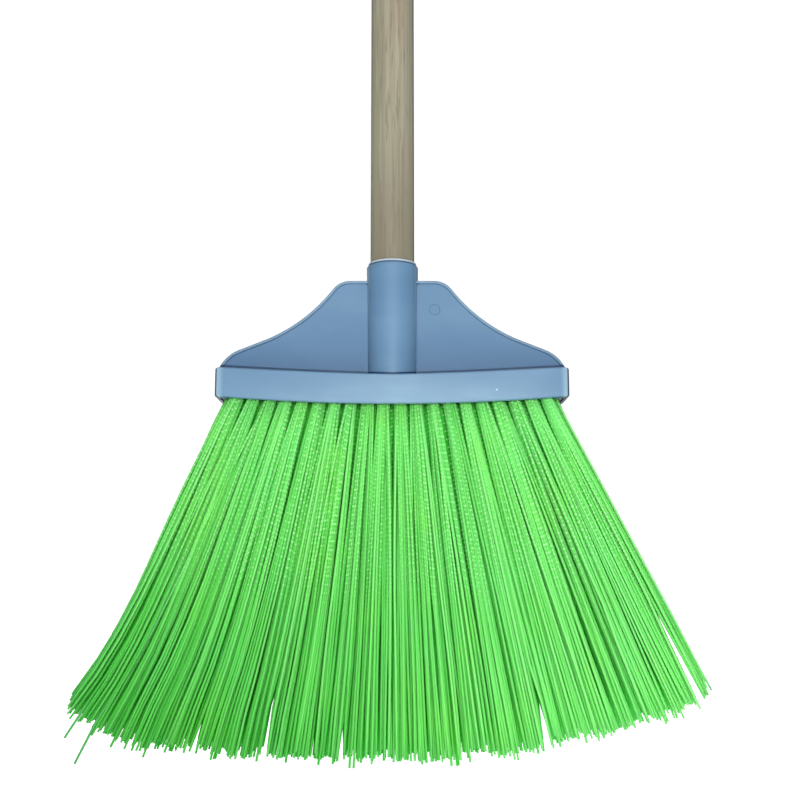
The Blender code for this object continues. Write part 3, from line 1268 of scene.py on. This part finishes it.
@dataclass
class HandleSocket:
    """The tapered tube that takes the handle."""

    mouth: float = 0.2553
    mouth_radius: float = 0.01405
    foot_radius: float = 0.01340
    foot_depth: float = 0.0026
    sides: int = 96
    shoulder_round: float = 0.0008
    shoulder_steps: int = 5
    neck_step: float = 0.0005
    neck_height: float = 0.0006
    lip_height: float = 0.0012
    lip_overhang: float = 0.0004
    lip_round: float = 0.0003
    lip_round_steps: int = 3
    bore_clearance: float = 0.0003
    bore_flare: float = 0.0002

    def solid(self, skirt: Skirt) -> bpy.types.Object:
        """Model the outside of the socket.

        Args:
            skirt: The skirt that the socket stands on.

        Returns:
            The closed tapered tube wall.
        """
        foot = skirt.top_at(0) - self.foot_depth
        wall = add_solid(
            "socket_wall",
            bpy.ops.mesh.primitive_cone_add,
            vertices=self.sides,
            radius1=self.foot_radius,
            radius2=self.mouth_radius,
            depth=self.mouth - foot,
            location=(0, 0, (self.mouth + foot) / 2),
        )
        neck_radius = self.mouth_radius - self.shoulder_round - self.neck_step
        overhang = 1 + self.lip_overhang / neck_radius
        with open_mesh(wall):
            pick("FACE", wall, lambda f: f.normal.z > FACING)
            bpy.ops.mesh.bevel(
                offset=self.shoulder_round, segments=self.shoulder_steps, affect="EDGES"
            )
            pick("FACE", wall, lambda f: f.calc_center_median().z > self.mouth - PLACE_TOLERANCE)
            bpy.ops.mesh.inset(thickness=self.neck_step, depth=0)
            raise_selected((0, 0, self.neck_height))
            raise_selected((0, 0, self.lip_overhang / 2))
            bpy.ops.transform.resize(value=(overhang, overhang, 1))
            raise_selected((0, 0, self.lip_height - self.lip_overhang / 2))
            bpy.ops.mesh.bevel(
                offset=self.lip_round, segments=self.lip_round_steps, affect="EDGES"
            )
        return wall

    def bore(self, skirt: Skirt, handle: Handle) -> bpy.types.Object:
        """Model the cutter for the blind bore, which follows the handle's taper.

        Args:
            skirt: The skirt whose deck closes the bore.
            handle: The handle that goes in.

        Returns:
            The cutter.
        """
        bottom = skirt.top_at(0)
        cutter = add_solid(
            "socket_bore",
            bpy.ops.mesh.primitive_cone_add,
            vertices=handle.sides,
            radius1=handle.foot_radius + self.bore_clearance,
            radius2=handle.shaft_radius + self.bore_clearance,
            depth=handle.taper_end - bottom,
            location=(0, 0, (handle.taper_end + bottom) / 2),
        )
        flare = 1 + self.bore_flare / handle.shaft_radius
        with open_mesh(cutter):
            rim = self.mouth + self.neck_height + self.lip_height
            for z in (rim - 2 * self.bore_flare, rim):
                slice_all((0, 0, z), (0, 0, 1))
            pick("VERT", cutter, lambda v: v.co.z > rim - PLACE_TOLERANCE)
            bpy.ops.transform.resize(value=(flare, flare, 1))
        return cutter


@dataclass
class Head:
    """The moulded head: skirt, wings and socket in one body."""

    mark_x: float = 0.0229
    mark_z: float = 0.2309
    mark_radius: float = 0.0029
    mark_depth: float = 0.00016
    mark_segments: int = 40
    groove_segments: int = 8
    crisp_angle: float = 32.0

    def build(self, handle: Handle, finish: bpy.types.Material) -> bpy.types.Object:
        """Model the head and dress it.

        Args:
            handle: The handle that its bore takes.
            finish: The plastic.

        Returns:
            The head.
        """
        skirt = Skirt()
        wings = Wings()
        socket = HandleSocket()
        head = skirt.solid("head_moulding", 0.0, 0.0, 0.0, rounded=True)
        apply_boolean(head, wings.solid(skirt), "UNION")
        apply_boolean(head, socket.solid(skirt), "UNION")
        inside = replace(skirt, corner_radius=skirt.pocket_corner)
        pocket = inside.solid("skirt_pocket", skirt.wall, -skirt.deck, skirt.deck, rounded=False)
        apply_boolean(head, pocket, "DIFFERENCE")
        apply_boolean(head, socket.bore(skirt, handle), "DIFFERENCE")
        web = wings.half_thickness - wings.rim_height
        apply_boolean(head, self.ejector_ring(web), "DIFFERENCE")
        close_seams(head)
        even_shading(head, self.crisp_angle)
        dress(head, finish)
        ride_on(head, "head")
        return head

    def ejector_ring(self, web: float) -> bpy.types.Object:
        """Model the cutter for the round ejector mark on the right wing.

        Args:
            web: How far the wing's web stands in front of the middle.

        Returns:
            The cutter.
        """
        return add_solid(
            "ejector_ring",
            bpy.ops.mesh.primitive_torus_add,
            major_radius=self.mark_radius,
            minor_radius=self.mark_depth,
            major_segments=self.mark_segments,
            minor_segments=self.groove_segments,
            location=(self.mark_x, -web, self.mark_z),
            rotation=(math.pi / 2, 0, 0),
        )


# ---------------------------------------------------------------------------
# Bristles
# ---------------------------------------------------------------------------


class Row(Enum):
    """A row of tufts, by the side of the block that it stands on."""

    FRONT = -1
    MIDDLE = 0
    BACK = 1

    @property
    def count(self) -> int:
        """Return how many tufts the row has."""
        return 21 if self is Row.MIDDLE else 20

    @property
    def label(self) -> str:
        """Return the row's name in piece names."""
        return self.name.lower()


@dataclass(frozen=True)
class Parting:
    """A place where the filaments have spread and show what is behind.

    It runs from start to end, both (x, z), and grows to its width at the end, or has its
    width in the middle if it closes again.
    """

    start: tuple[float, float]
    end: tuple[float, float]
    width: float
    closes: bool = False


@dataclass(frozen=True)
class Trim:
    """A stretch of the fan that was cut longer or shorter than the rest."""

    middle: float
    half_width: float
    extra: float

    def extra_at(self, x: float) -> float:
        """Return the extra length of a tuft at x."""
        return self.extra * math.exp(-(((x - self.middle) / self.half_width) ** 2))


@dataclass(frozen=True)
class Stray:
    """A single filament that stands away from its tuft, ending at tip."""

    row: Row
    tuft: int
    tip: Point


@dataclass(frozen=True)
class Looseness:
    """How unevenly filaments lie, mostly as the spread of a random length in metres."""

    tuft_length: float = 0.0012
    root: float = 0.05
    wide_share: float = 0.30
    wide: float = 0.45
    narrow: float = 0.13
    deep: float = 0.10
    inner_limit: float = 1.5
    edge_limit: float = 1.0
    end_offset: float = 0.0010
    end: float = 0.0024
    long_share: float = 0.06
    long_ends: tuple[float, float] = (0.0015, 0.0045)
    bow: float = 0.00045
    sway: float = 0.00025
    girths: tuple[float, float] = (0.88, 1.10)


@dataclass
class Pattern:
    """The one filament that every other is copied from: a unit tube that hangs from the origin."""

    points: np.ndarray
    faces: list[tuple[int, ...]]


@dataclass
class BristleFan:
    """Three rows of tufts, whose axes meet at one place above the head."""

    pitch: float = 0.0086
    row_spacing: float = 0.0090
    fan_height: float = 0.180
    splay: float = 0.062
    flare: float = 0.76
    block_recess: float = 0.0015
    root_radius: float = 0.00340
    root_depth: float = 0.004
    length: float = 0.1802
    trim_slope: float = -0.050
    edge_shortening: float = 0.007
    edge_start: float = 0.074
    edge_end: float = 0.086
    tip_half_depth: float = 0.0094
    strands: int = 40
    strand_radius: float = 0.00072
    strand_sides: int = 6
    strand_steps: int = 9
    strand_taper: float = 0.8
    squareness: float = 0.90
    seed: int = 7241
    sight_distance: float = 0.62
    bend_end: float = 0.080
    waist_top: float = 0.1780
    waist_drop: float = 0.1590
    waist_start: float = 0.06
    edge_at_top: float = 0.0915
    edge_growth: float = 0.535
    left_waist: float = 0.0128
    right_waist: float = 0.0012
    stray_tone: float = 1.2
    sight_height: float = 0.085
    parting_reach: float = 1.2
    loose: Looseness = Looseness()
    partings: tuple[Parting, ...] = (
        Parting((0.1345, 0.0775), (0.1600, 0.0250), 0.0034),
        Parting((0.0755, 0.0300), (0.0798, 0.0046), 0.0031),
        Parting((0.1088, 0.0780), (0.1168, 0.0510), 0.0020, closes=True),
        Parting((-0.0262, 0.0160), (-0.0262, -0.0040), 0.0020),
        Parting((-0.0612, 0.0400), (-0.0645, 0.0050), 0.0012),
        Parting((-0.0975, 0.0200), (-0.1016, 0.0020), 0.0017),
    )
    trims: tuple[Trim, ...] = (
        Trim(-0.0640, 0.0080, 0.0040),
        Trim(-0.0092, 0.0060, 0.0024),
        Trim(0.0660, 0.0095, -0.0032),
    )
    strays: tuple[Stray, ...] = (
        Stray(Row.FRONT, 1, (-0.1623, -0.0240, 0.0272)),
        Stray(Row.FRONT, 1, (-0.1610, -0.0215, 0.0234)),
        Stray(Row.FRONT, 2, (-0.1615, -0.0262, 0.0095)),
        Stray(Row.FRONT, 3, (-0.1560, -0.0275, -0.0025)),
        Stray(Row.MIDDLE, 21, (0.1672, 0.0020, 0.0298)),
    )

    def build(self, finish: bpy.types.Material) -> list[bpy.types.Object]:
        """Fill every tuft with filaments and dress them.

        Args:
            finish: The fibre.

        Returns:
            The tufts.
        """
        pattern = self.model_filament()
        skirt = Skirt()
        tufts = []
        for row in Row:
            for number in range(1, row.count + 1):
                x = (number - 1 - (row.count - 1) / 2) * self.pitch
                tuft = self.fill(pattern, skirt, row, number, x)
                dress(tuft, finish)
                node = "middle_tufts" if row is Row.MIDDLE else f"{row.label}_tuft_{number:02d}"
                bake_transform(tuft)
                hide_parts(node)
                tufts.append(tuft)
        return tufts

    def model_filament(self) -> Pattern:
        """Model one filament as a thin tube with a cut tip.

        Returns:
            The filament as a pattern.
        """
        tube = add_solid(
            "filament_pattern",
            bpy.ops.mesh.primitive_cylinder_add,
            vertices=self.strand_sides,
            radius=1,
            depth=1,
            location=(0, 0, -0.5),
        )
        with open_mesh(tube):
            for i in range(1, self.strand_steps):
                slice_all((0, 0, -i / self.strand_steps), (0, 0, 1))
            pick("VERT", tube, lambda v: v.co.z < -1 + PLACE_TOLERANCE)
            bpy.ops.transform.resize(value=(self.strand_taper, self.strand_taper, 1))
        points = np.array([tuple(v.co) for v in tube.data.vertices])
        faces = [tuple(polygon.vertices) for polygon in tube.data.polygons]
        bpy.data.objects.remove(tube, do_unlink=True)
        return Pattern(points, faces)

    def tuft_frame(self, skirt: Skirt, row: Row, x: float) -> Matrix:
        """Return the place of a tuft: origin on the block's face, -Z along the tuft.

        Args:
            skirt: The skirt that the block fills.
            row: The tuft's row.
            x: Its place along the row.

        Returns:
            The transform.
        """
        foot = Vector((x, row.value * self.row_spacing, skirt.bottom_at(x) + self.block_recess))
        down = Vector((x / self.fan_height, row.value * self.splay, -1)).normalized()
        side = Vector((1, 0, x / self.fan_height)).normalized()
        back = (-down).cross(side).normalized()
        return Matrix.Translation(foot) @ Matrix((side, back, -down)).transposed().to_4x4()

    def tip_half_width(self, x: float) -> float:
        """Return half the distance between the tips of neighbouring tufts at x."""
        reach = math.hypot(self.fan_height, x) + self.length
        return reach * self.pitch * self.fan_height / (self.fan_height**2 + x**2) / 2

    def trimmed_length(self, x: float) -> float:
        """Return the mean length of the filaments of the tuft at x."""
        into_edge = max(0.0, abs(x) - self.edge_start) / (self.edge_end - self.edge_start)
        uneven = sum(trim.extra_at(x) for trim in self.trims)
        return self.length + self.trim_slope * x - self.edge_shortening * into_edge**2 + uneven

    def fill(
        self, pattern: Pattern, skirt: Skirt, row: Row, number: int, x: float
    ) -> bpy.types.Object:
        """Lay a tuft's filaments side by side and make them one piece.

        Args:
            pattern: The filament to copy.
            skirt: The skirt that the block fills.
            row: The tuft's row.
            number: Its number in the row.
            x: Its place along the row.

        Returns:
            The tuft.
        """
        draw = np.random.default_rng([self.seed, row.value + 1, number])
        place = np.array(self.tuft_frame(skirt, row, x))
        half_width = self.tip_half_width(x)
        length = self.trimmed_length(x) + draw.normal(0.0, self.loose.tuft_length)
        at_edge = number in (1, row.count)
        limit = self.loose.edge_limit if at_edge else self.loose.inner_limit
        points: list[np.ndarray] = []
        tones: list[float] = []
        for root in self.packed_roots(draw):
            reach = length + self.trim_error(draw)
            tip = self.spread(root, half_width, draw, limit)
            laid = self.lay(pattern, root * self.root_scale(), tip, reach, draw)
            points.append(laid @ place[:3, :3].T + place[:3, 3])
            tones.append(float(draw.uniform()))
        for stray in self.strays:
            if stray.row is row and stray.tuft == number:
                points.append(self.lay_stray(pattern, place, stray, draw))
                tones.append(self.stray_tone)
        return self.bind(pattern, f"{row.label}_filaments_{number:02d}", points, tones)

    def root_scale(self) -> float:
        """Return how far from the tuft's axis an outside filament leaves the block."""
        return self.root_radius - self.strand_radius

    def packed_roots(self, draw: np.random.Generator) -> list[np.ndarray]:
        """Return where the filaments of a tuft leave the block, in a disc of radius 1.

        Args:
            draw: The tuft's random numbers.

        Returns:
            One (x, y) for each filament.
        """
        golden = math.pi * (3 - math.sqrt(5))
        turn = draw.uniform(0, math.tau)
        roots = []
        for i in range(self.strands):
            radius = math.sqrt((i + 0.5) / self.strands)
            angle = turn + i * golden
            jitter = draw.normal(0.0, self.loose.root, 2)
            roots.append(np.array((math.cos(angle), math.sin(angle))) * radius + jitter)
        return roots

    def spread(
        self, root: np.ndarray, half_width: float, draw: np.random.Generator, limit: float
    ) -> np.ndarray:
        """Return where a filament ends across its tuft.

        Args:
            root: Where it leaves the block, in the unit disc.
            half_width: Half the tuft's width at the tips.
            draw: The tuft's random numbers.
            limit: How many half widths it may stray.

        Returns:
            Its (x, y) at the tips.
        """
        loose = self.loose
        square = root * np.linalg.norm(root) / max(np.abs(root).max(), SMALLEST)
        squared = square * self.squareness + root * (1 - self.squareness)
        wide = loose.wide if draw.uniform() < loose.wide_share else loose.narrow
        jitter = draw.normal(0.0, (wide, loose.deep), 2)
        sized = (squared + jitter) * np.array((half_width, self.tip_half_depth))
        bound = np.array((half_width * limit, self.tip_half_depth))
        return np.clip(sized, -bound, bound)

    def trim_error(self, draw: np.random.Generator) -> float:
        """Return how far a filament's end lies from the tuft's mean length.

        Args:
            draw: The tuft's random numbers.

        Returns:
            The extra length, mostly short of the mean.
        """
        extra = self.loose.end_offset - abs(draw.normal(0.0, self.loose.end))
        if draw.uniform() < self.loose.long_share:
            extra = draw.uniform(*self.loose.long_ends)
        return float(extra)

    def lay(
        self,
        pattern: Pattern,
        foot: np.ndarray,
        tip: np.ndarray,
        reach: float,
        draw: np.random.Generator,
    ) -> np.ndarray:
        """Copy the pattern filament along its own path in the tuft's frame.

        Args:
            pattern: The filament to copy.
            foot: Its (x, y) at the block.
            tip: Its (x, y) at the tips.
            reach: Its length below the block.
            draw: The tuft's random numbers.

        Returns:
            The copy's points.
        """
        share = -pattern.points[:, 2]
        down = share * (reach + self.root_depth) - self.root_depth
        along = np.clip(down / self.length, 0.0, None)
        bow = draw.normal(0.0, self.loose.bow, 2)
        sway = draw.normal(0.0, self.loose.sway, 2)
        ripple = draw.uniform(0, math.tau)
        line = foot + np.outer(along**self.flare, tip - foot)
        line = line + np.outer(np.sin(np.pi * np.clip(along, 0, 1)), bow)
        line = line + np.outer(along * np.sin(3 * np.pi * along + ripple), sway)
        turn = draw.uniform(0, math.tau)
        cosine, sine = math.cos(turn), math.sin(turn)
        girth = self.strand_radius * draw.uniform(*self.loose.girths)
        ring_x = (pattern.points[:, 0] * cosine - pattern.points[:, 1] * sine) * girth
        ring_y = (pattern.points[:, 0] * sine + pattern.points[:, 1] * cosine) * girth
        return np.column_stack((line[:, 0] + ring_x, line[:, 1] + ring_y, -down))

    def lay_stray(
        self, pattern: Pattern, place: np.ndarray, stray: Stray, draw: np.random.Generator
    ) -> np.ndarray:
        """Copy the pattern filament along a path that leaves the tuft.

        Args:
            pattern: The filament to copy.
            place: The tuft's transform.
            stray: Where it ends.
            draw: The tuft's random numbers.

        Returns:
            The copy's points, already in place.
        """
        goal = np.linalg.inv(place) @ np.array((*stray.tip, 1.0))
        reach = float(-goal[2])
        tip = goal[:2] * self.length / reach
        laid = self.lay(pattern, np.zeros(2), tip, reach, draw)
        return laid @ place[:3, :3].T + place[:3, 3]

    def gather(self, points: np.ndarray) -> np.ndarray:
        """Draw one filament in where the fan's edge is hollow.

        Args:
            points: The filament's points.

        Returns:
            The points, moved along X.
        """
        fall = np.clip((self.waist_top - points[:, 2]) / self.waist_drop, 0, 1)
        edge = self.edge_at_top + self.edge_growth * (self.waist_top - points[:, 2])
        left = np.clip(-points[:, 0] / edge, 0, 1) ** 2
        right = np.clip(points[:, 0] / edge, 0, 1) ** 3
        moved = points.copy()
        moved[:, 0] += self.left_waist * left * fall * (1 - fall**5)
        moved[:, 0] -= self.right_waist * right * np.clip(fall / self.waist_start, 0, 1)
        return moved

    def part(self, points: np.ndarray, levels: np.ndarray) -> np.ndarray:
        """Push one filament clear of the partings.

        Args:
            points: The filament's points.
            levels: The number of the ring that each point belongs to.

        Returns:
            The points, moved along X.
        """
        moved = points.copy()
        counts = np.bincount(levels)
        for parting in self.partings:
            x, y, z = (np.bincount(levels, moved[:, i]) / counts for i in range(3))
            (x_start, z_start), (x_end, z_end) = parting.start, parting.end
            depth = 1 + y / self.sight_distance
            seen_height = self.sight_height + (z - self.sight_height) / depth
            share = (z_start - seen_height) / (z_start - z_end)
            if parting.closes:
                opening = np.sin(np.pi * np.clip(share, 0, 1))
            else:
                opening = np.sqrt(np.clip(share, 0, self.parting_reach))
            middle = (x_start + (x_end - x_start) * share) * depth
            half = (parting.width / 2 + self.strand_radius) * opening
            widest = int(np.argmax(opening))
            side = 1.0 if x[widest] > middle[widest] else -1.0
            push = np.clip(half - (x - middle) * side, 0.0, 2 * half)
            moved[:, 0] += side * push[levels]
        return moved

    def bind(
        self, pattern: Pattern, name: str, laid: list[np.ndarray], tones: list[float]
    ) -> bpy.types.Object:
        """Join laid filaments in one mesh, with their tone and length in a UV map.

        Args:
            pattern: The filament that they copy.
            name: The piece's name.
            laid: Each filament's points.
            tones: Each filament's tone.

        Returns:
            The piece.
        """
        count = len(pattern.points)
        levels = np.rint(-pattern.points[:, 2] * self.strand_steps).astype(np.int64)
        points = np.vstack([self.part(self.gather(each), levels) for each in laid])
        starts = range(0, count * len(laid), count)
        faces = [tuple(v + start for v in face) for start in starts for face in pattern.faces]
        mesh = bpy.data.meshes.new(name)
        mesh.from_pydata(points.tolist(), [], faces)
        along = -pattern.points[:, 2] * (self.length + self.root_depth) - self.root_depth
        values = np.column_stack((np.repeat(tones, count), np.tile(along, len(laid))))
        layer = mesh.uv_layers.new(name=STRAND_MAP)
        corners = np.empty(len(mesh.loops), dtype=np.int32)
        mesh.loops.foreach_get("vertex_index", corners)
        layer.data.foreach_set("uv", values[corners].astype(np.float32).ravel())
        mesh.shade_smooth()
        mesh.update()
        piece = bpy.data.objects.new(name, mesh)
        bpy.context.scene.collection.objects.link(piece)
        return piece


# ---------------------------------------------------------------------------
# Studio
# ---------------------------------------------------------------------------


@dataclass(frozen=True)
class SoftBox:
    """A square lamp: where it hangs, what it points at, its side and its power in watts."""

    name: str
    place: Point
    aim: Point
    size: float
    power: float

    def hang(self) -> None:
        """Hang the lamp."""
        data = bpy.data.lights.new(self.name, "AREA")
        data.shape = "SQUARE"
        data.size = self.size
        data.energy = self.power
        lamp = bpy.data.objects.new(self.name, data)
        lamp.location = self.place
        heading = Vector(self.aim) - Vector(self.place)
        lamp.rotation_euler = heading.to_track_quat("-Z", "Y").to_euler()
        lamp.visible_camera = False
        bpy.context.scene.collection.objects.link(lamp)


@dataclass
class Studio:
    """The camera, the floor and the lights."""

    camera_place: Point = (0.0042, -0.62, 0.085)
    camera_pitch: float = 8.90
    lens: float = 52.51
    sensor: float = 36.0
    floor_level: float = -0.0068
    floor_size: float = 60.0
    ambient: float = 0.235
    shown_walls: float = 1.05
    lamps: tuple[SoftBox, ...] = (
        SoftBox("key_light", (0.04, -1.05, 0.12), (0, 0, 0.17), 0.45, 11.8),
        SoftBox("fill_light", (-0.9, -1.6, 0.35), (0, 0, 0.20), 0.8, 1.4),
        SoftBox("top_light", (0.1, 0.3, 2.6), (0, 0, 0.2), 1.6, 7.0),
        SoftBox("back_light", (-0.35, 1.5, 0.55), (0, 0, 0.25), 1.0, 13.0),
    )

    def build(self) -> None:
        """Set up the whole studio."""
        self.place_camera()
        self.lay_floor()
        for lamp in self.lamps:
            lamp.hang()
        self.light_room()
        bpy.context.scene.view_settings.view_transform = "Standard"

    def place_camera(self) -> None:
        """Put the camera in front of the head, a little below it and looking up."""
        data = bpy.data.cameras.new("studio_camera")
        data.lens = self.lens
        data.sensor_width = self.sensor
        camera = bpy.data.objects.new("studio_camera", data)
        camera.location = self.camera_place
        camera.rotation_euler = (math.radians(90 + self.camera_pitch), 0, 0)
        bpy.context.scene.collection.objects.link(camera)
        bpy.context.scene.camera = camera

    def lay_floor(self) -> None:
        """Lay the floor under the longest tips."""
        put_down_all()
        bpy.ops.mesh.primitive_plane_add(size=self.floor_size, location=(0, 0, self.floor_level))
        floor = newest("studio_floor")
        dress(floor, FloorFinish().make())

    def light_room(self) -> None:
        """Surround the object with a soft light room whose walls look plain white."""
        world = bpy.data.worlds.new("studio_room")
        bpy.context.scene.world = world
        world.use_nodes = True
        tree = world.node_tree
        walls = tree.nodes["Background"]
        shown = tree.nodes.new("ShaderNodeBackground")
        for background, strength in ((walls, self.ambient), (shown, self.shown_walls)):
            background.inputs["Color"].default_value = (*WHITE, 1.0)
            background.inputs["Strength"].default_value = strength
        path = tree.nodes.new("ShaderNodeLightPath")
        mix = tree.nodes.new("ShaderNodeMixShader")
        tree.links.new(path.outputs["Is Camera Ray"], mix.inputs[0])
        tree.links.new(walls.outputs[0], mix.inputs[1])
        tree.links.new(shown.outputs[0], mix.inputs[2])
        tree.links.new(mix.outputs[0], tree.nodes["World Output"].inputs["Surface"])


# ---------------------------------------------------------------------------
# The broom
# ---------------------------------------------------------------------------


def report(piece: bpy.types.Object) -> None:
    """Log a piece's name and size."""
    LOG.info("%s: %d faces", piece.name, len(piece.data.polygons))


def dress_block(finish: bpy.types.Material) -> None:
    """Give the tuft block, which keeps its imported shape, its finish."""
    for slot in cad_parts["tuft_block"].material_slots:
        slot.material = finish


def main() -> None:
    """Build the broom and its studio."""
    logging.basicConfig(level=logging.INFO, format="%(name)s: %(message)s")
    Studio().build()
    handle = Handle()
    report(handle.build(WoodFinish().make()))
    shell = HeadFinish("head_plastic_blue", HEAD_BLUE, HEAD_CLOUD)
    report(Head().build(handle, shell.make()))
    dress_block(MouldedFinish("block_plastic_blue", BLOCK_BLUE, BLOCK_CLOUD).make())
    for tuft in BristleFan().build(FilamentFinish().make()):
        report(tuft)


if __name__ == "__main__":
    main()
